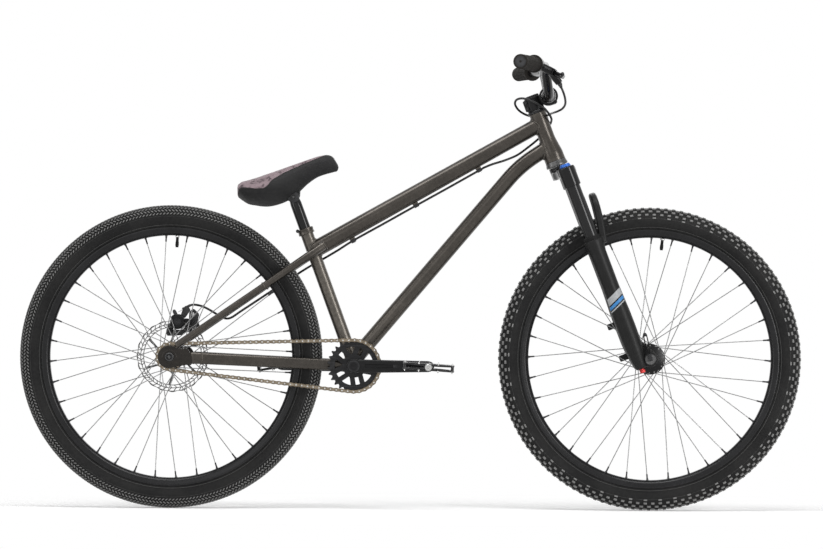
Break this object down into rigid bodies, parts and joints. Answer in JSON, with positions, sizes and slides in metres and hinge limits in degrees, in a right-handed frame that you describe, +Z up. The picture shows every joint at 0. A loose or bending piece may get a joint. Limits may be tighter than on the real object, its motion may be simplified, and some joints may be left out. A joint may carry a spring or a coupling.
{
  "type": "dirt jump bike",
  "caption": "Hardtail jump bike with a low sloping frame, short-travel suspension fork, single-speed chain drive, rear disc brake and knobbly tyres.",
  "frame": {"origin": "on the ground, midway between the foremost and rearmost points of the bike, on its middle plane", "axes": "+X forward, +Y to the rider's left, +Z up"},
  "size_m": [1.722, 0.7574, 0.993],
  "materials": {
    "frame_paint": "satin bronze grey paint",
    "black_metal": "satin black anodised",
    "gloss_black": "gloss black anodised",
    "fork_black": "matte black coating",
    "steel": "ground steel",
    "chain_steel": "oiled brown grey steel",
    "tyre_rubber": "moulded tread rubber",
    "cable_jacket": "smooth black jacket and butyl tube",
    "grip_rubber": "brown grey ribbed rubber",
    "saddle_vinyl": "black vinyl over foam",
    "red_anodised": "red anodised",
    "blue_anodised": "blue anodised"
  },
  "bodies": {
    "frame": {"head_tube": "frame_paint", "top_tube": "frame_paint", "down_tube": "frame_paint", "seat_tube": "frame_paint", "bottom_bracket_shell": "frame_paint", "chainstay_right": "frame_paint", "chainstay_left": "frame_paint", "seatstay_right": "frame_paint", "seatstay_left": "frame_paint", "headset_upper_cup": "black_metal", "headset_lower_cup": "steel", "seat_clamp": "black_metal", "bottom_bracket_cup_right": "black_metal", "bottom_bracket_cup_left": "black_metal", "brake_caliper": "black_metal", "caliper_bracket": "black_metal", "rear_axle": "black_metal", "brake_cable_frame": "cable_jacket", "chain": "chain_steel"},
    "seatpost": {"seatpost": "gloss_black"},
    "saddle": {"saddle": "saddle_vinyl"},
    "cranks": {"crank_arm_right": "black_metal", "chainring": "black_metal", "crank_arm_left": "black_metal", "crank_spindle": "black_metal"},
    "pedal_right": {"pedal_right": "black_metal"},
    "pedal_left": {"pedal_left": "black_metal"},
    "rear_wheel": {"rear_tyre": "tyre_rubber", "rear_rim": "black_metal", "rear_inner_tube": "cable_jacket", "rear_hub": "black_metal", "brake_rotor": "steel"},
    "rear_cog": {"rear_cog": "black_metal"},
    "caliper_arm": {"caliper_arm": "black_metal"},
    "steering": {"fork_crown": "gloss_black", "stanchion_right": "gloss_black", "stanchion_left": "gloss_black", "air_cap": "black_metal", "stem": "black_metal", "stem_faceplate": "black_metal", "top_cap": "black_metal", "handlebar": "black_metal", "grip_right": "grip_rubber", "grip_left": "grip_rubber", "brake_lever_body": "black_metal", "brake_cable_loop": "cable_jacket"},
    "compression_dial": {"compression_dial": "blue_anodised"},
    "brake_lever_blade": {"brake_lever_blade": "black_metal"},
    "fork_lowers": {"fork_lowers": "fork_black", "front_axle": "black_metal", "damper_shaft": "steel", "spring_shaft": "steel"},
    "axle_lever": {"axle_lever": "black_metal"},
    "rebound_knob": {"rebound_knob": "red_anodised"},
    "front_wheel": {"front_tyre": "tyre_rubber", "front_rim": "black_metal", "front_inner_tube": "cable_jacket", "front_hub": "black_metal"}
  },
  "joints": [
    {"name": "steering", "type": "hinge", "parent": "frame", "child": "steering", "pos_m": [0.31831, 0, 0.76906], "axis": [-0.3584, 0, 0.9336], "range_deg": [-90, 90], "deforming": ["brake_cable_loop"]},
    {"name": "fork_travel", "type": "slide", "parent": "steering", "child": "fork_lowers", "axis": [-0.3584, 0, 0.9336], "range_m": [0, 0.1], "stiffness_N_per_m": 8000, "springref_m": -0.02},
    {"name": "front_wheel_spin", "type": "hinge", "parent": "fork_lowers", "child": "front_wheel", "pos_m": [0.5275, 0, 0.3335], "axis": [0, 1, 0], "continuous": true},
    {"name": "rear_wheel_spin", "type": "hinge", "parent": "frame", "child": "rear_wheel", "pos_m": [-0.5275, 0, 0.3335], "axis": [0, 1, 0], "continuous": true},
    {"name": "crank_spin", "type": "hinge", "parent": "frame", "child": "cranks", "pos_m": [-0.12251, 0, 0.3153], "axis": [0, 1, 0], "continuous": true},
    {"name": "cog_spin", "type": "hinge", "parent": "frame", "child": "rear_cog", "pos_m": [-0.5275, 0, 0.3335], "axis": [0, 1, 0], "continuous": true},
    {"name": "pedal_right_spin", "type": "hinge", "parent": "cranks", "child": "pedal_right", "pos_m": [0.04249, -0.137, 0.3153], "axis": [0, 1, 0], "continuous": true},
    {"name": "pedal_left_spin", "type": "hinge", "parent": "cranks", "child": "pedal_left", "pos_m": [-0.28751, 0.137, 0.3153], "axis": [0, 1, 0], "continuous": true},
    {"name": "seatpost_slide", "type": "slide", "parent": "frame", "child": "seatpost", "axis": [-0.3453, 0, 0.9385], "range_m": [-0.03, 0.04]},
    {"name": "saddle_tilt", "type": "hinge", "parent": "seatpost", "child": "saddle", "pos_m": [-0.25911, 0, 0.68657], "axis": [0, 1, 0], "range_deg": [-10, 10]},
    {"name": "brake_lever_pull", "type": "hinge", "parent": "steering", "child": "brake_lever_blade", "pos_m": [0.30833, -0.2, 0.95755], "axis": [-0.4258, 0, -0.9048], "range_deg": [0, 18], "stiffness_Nm_per_rad": 1.5, "springref_deg": -8.59},
    {"name": "caliper_arm_pull", "type": "hinge", "parent": "frame", "child": "caliper_arm", "pos_m": [-0.517, 0.0683, 0.4094], "axis": [0, 1, 0], "range_deg": [0, 15]},
    {"name": "axle_lever_open", "type": "hinge", "parent": "fork_lowers", "child": "axle_lever", "pos_m": [0.5275, -0.0781, 0.3335], "axis": [0.9744, 0, 0.225], "range_deg": [0, 90]},
    {"name": "rebound_knob_turn", "type": "hinge", "parent": "fork_lowers", "child": "rebound_knob", "pos_m": [0.51032, -0.065, 0.30934], "axis": [-0.3584, 0, 0.9336], "range_deg": [0, 300]},
    {"name": "compression_dial_turn", "type": "hinge", "parent": "steering", "child": "compression_dial", "pos_m": [0.3383, -0.065, 0.75746], "axis": [-0.3584, 0, 0.9336], "range_deg": [0, 90]}
  ],
  "couplings": [
    {"joint": "cog_spin", "follows": "crank_spin", "ratio": 2},
    {"joint": "caliper_arm_pull", "follows": "brake_lever_pull", "ratio": 0.83333}
  ]
}
